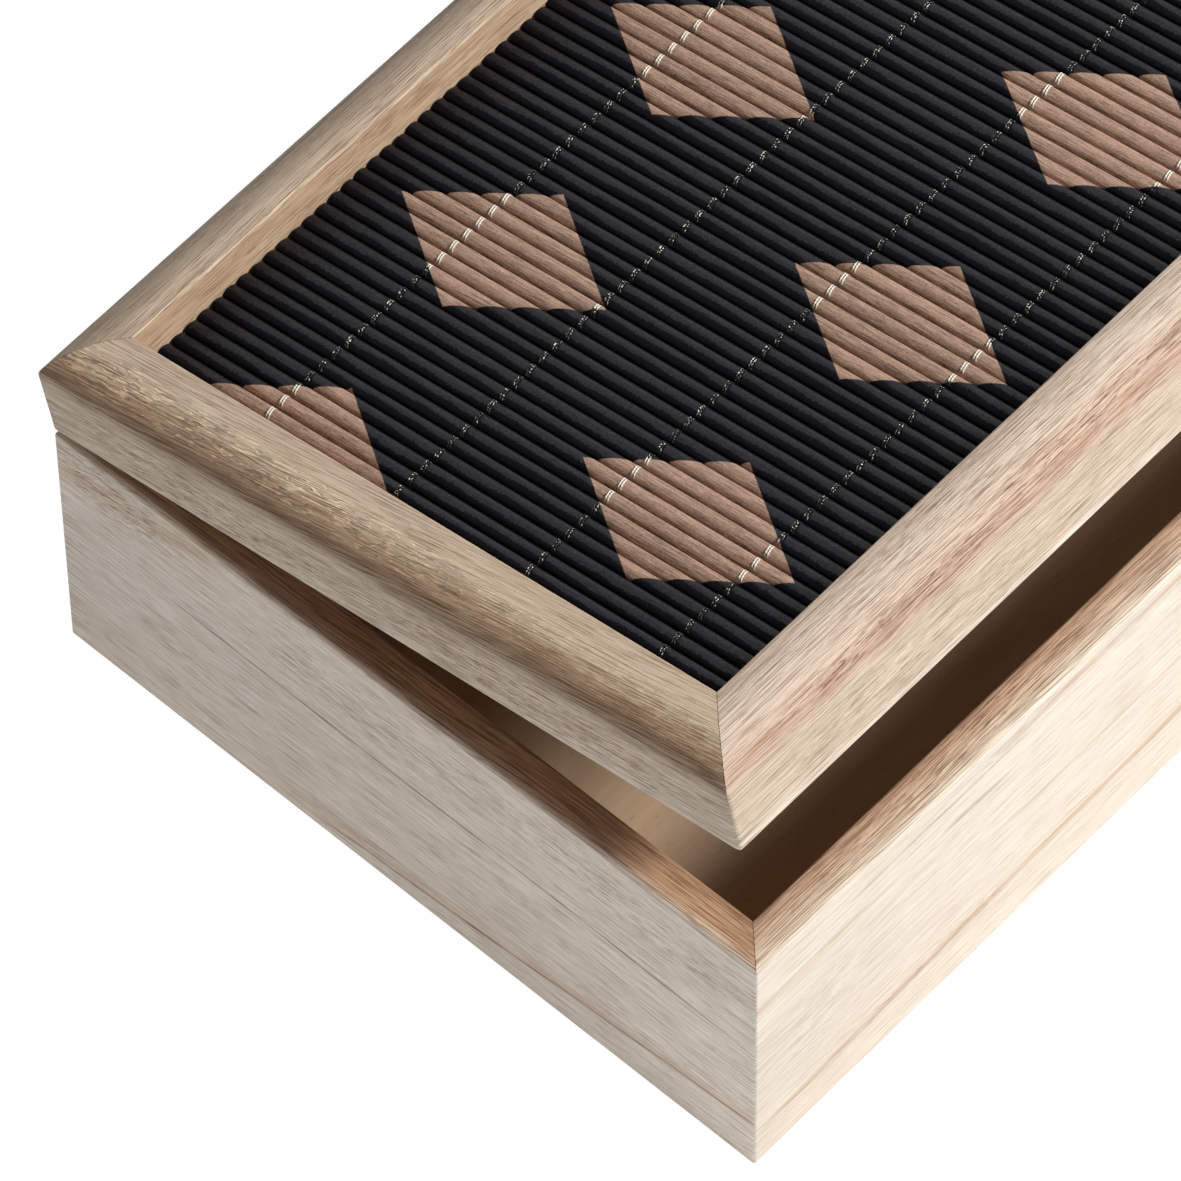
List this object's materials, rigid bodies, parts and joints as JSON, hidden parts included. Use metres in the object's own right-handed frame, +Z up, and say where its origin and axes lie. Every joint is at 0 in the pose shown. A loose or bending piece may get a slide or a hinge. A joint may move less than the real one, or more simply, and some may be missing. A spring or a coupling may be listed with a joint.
{
  "type": "hinged keepsake case",
  "caption": "Shallow wooden case with mitred walls and a hinged lid: a rounded mitred frame round a stitched mat of printed slats, standing ajar.",
  "frame": {"origin": "on the surface that the case stands on, under the middle of the body", "axes": "+X along the case and its hinges, towards the right end; +Y from the front to the hinged back; +Z up"},
  "size_m": [0.3, 0.2036, 0.1445],
  "materials": {
    "body_wood": "pale paulownia, sanded and left bare, with fine tan streaks along the grain",
    "lid_wood": "paulownia, sanded and left bare, tan with darker streaks along the grain",
    "plywood": "smooth bare plywood",
    "bamboo": "slats with a satin black print and bare shapes",
    "thread": "twisted cotton thread, black on the print and white on the bare slats",
    "hinge_metal": "thin rolled brass, lightly brushed",
    "pin_metal": "bright drawn wire",
    "screw_metal": "plain brass with a slotted head"
  },
  "bodies": {
    "case": {"front_wall": "body_wood", "back_wall": "body_wood", "left_wall": "body_wood", "right_wall": "body_wood", "bottom_panel": "plywood", "left_hinge_body_leaf": "hinge_metal", "left_hinge_pin": "pin_metal", "right_hinge_body_leaf": "hinge_metal", "right_hinge_pin": "pin_metal", "body_hinge_screws": "screw_metal"},
    "lid": {"lid_front_rail": "lid_wood", "lid_back_rail": "lid_wood", "lid_left_rail": "lid_wood", "lid_right_rail": "lid_wood", "lid_panel": "plywood", "bamboo_slats": "bamboo", "stitch_row_1": "thread", "stitch_row_2": "thread", "stitch_row_3": "thread", "stitch_row_4": "thread", "left_hinge_lid_leaf": "hinge_metal", "right_hinge_lid_leaf": "hinge_metal", "lid_hinge_screws": "screw_metal"}
  },
  "joints": [
    {"name": "lid_hinge", "type": "hinge", "parent": "case", "child": "lid", "pos_m": [0, 0.1019, 0.07965], "axis": [-1, 0, 0], "range_deg": [-12.1, 87.9]}
  ]
}
